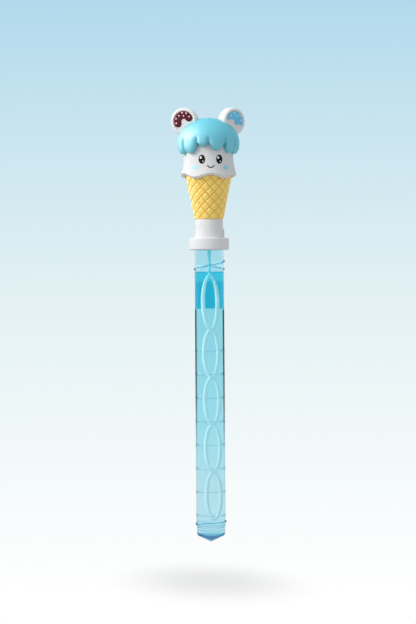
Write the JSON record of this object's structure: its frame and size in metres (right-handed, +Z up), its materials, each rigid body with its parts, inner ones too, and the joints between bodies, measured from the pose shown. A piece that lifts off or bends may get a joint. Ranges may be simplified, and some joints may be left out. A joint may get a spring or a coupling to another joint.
{
  "type": "bubble wand",
  "caption": "Clear tube for bubble solution, closed by a screw cap that carries a wand of pointed loops and an ice cream cone handle with round ears.",
  "frame": {"origin": "tip of the tube's pointed bottom, on the tube's axis", "axes": "+Z up the tube towards the ears, -Y the way the face looks, +X to the right of the face as seen from the front"},
  "size_m": [0.0652, 0.0544, 0.3795],
  "materials": {
    "clear_tube": "clear, tinted, glossy",
    "washer": "soft foam, matt",
    "wand": "pale translucent, satin",
    "white_cap": "white, satin",
    "cone": "biscuit yellow, satin",
    "white_head": "white, satin, printed face",
    "frosting": "pale blue, glossy",
    "white_ear": "white, satin",
    "dark_glaze": "dark red, glossy",
    "blue_glaze": "blue, glossy",
    "sprinkle": "white, glossy"
  },
  "bodies": {
    "tube_body": {"tube": "clear_tube"},
    "seal": {"sealing_washer": "washer"},
    "wand": {"wand_stem": "wand"},
    "handle": {"screw_cap": "white_cap", "cone_handle": "cone", "ice_cream_head": "white_head", "frosting": "frosting", "left_ear": "white_ear", "right_ear": "white_ear", "left_ear_glaze": "dark_glaze", "right_ear_glaze": "blue_glaze", "left_sprinkles": "sprinkle", "right_sprinkles": "sprinkle"}
  },
  "joints": [
    {"name": "wand_pull", "type": "slide", "parent": "tube_body", "child": "seal", "axis": [0, 0, 1], "range_m": [0, 0.255]},
    {"name": "thread_lift", "type": "slide", "parent": "seal", "child": "wand", "axis": [0, 0, 1], "range_m": [0, 0.0073]},
    {"name": "cap_turn", "type": "hinge", "parent": "wand", "child": "handle", "pos_m": [0, 0, 0.2645], "axis": [0, 0, 1], "range_deg": [0, 180]}
  ],
  "couplings": [
    {"joint": "thread_lift", "follows": "cap_turn", "m_per_rad": 0.0023077}
  ]
}
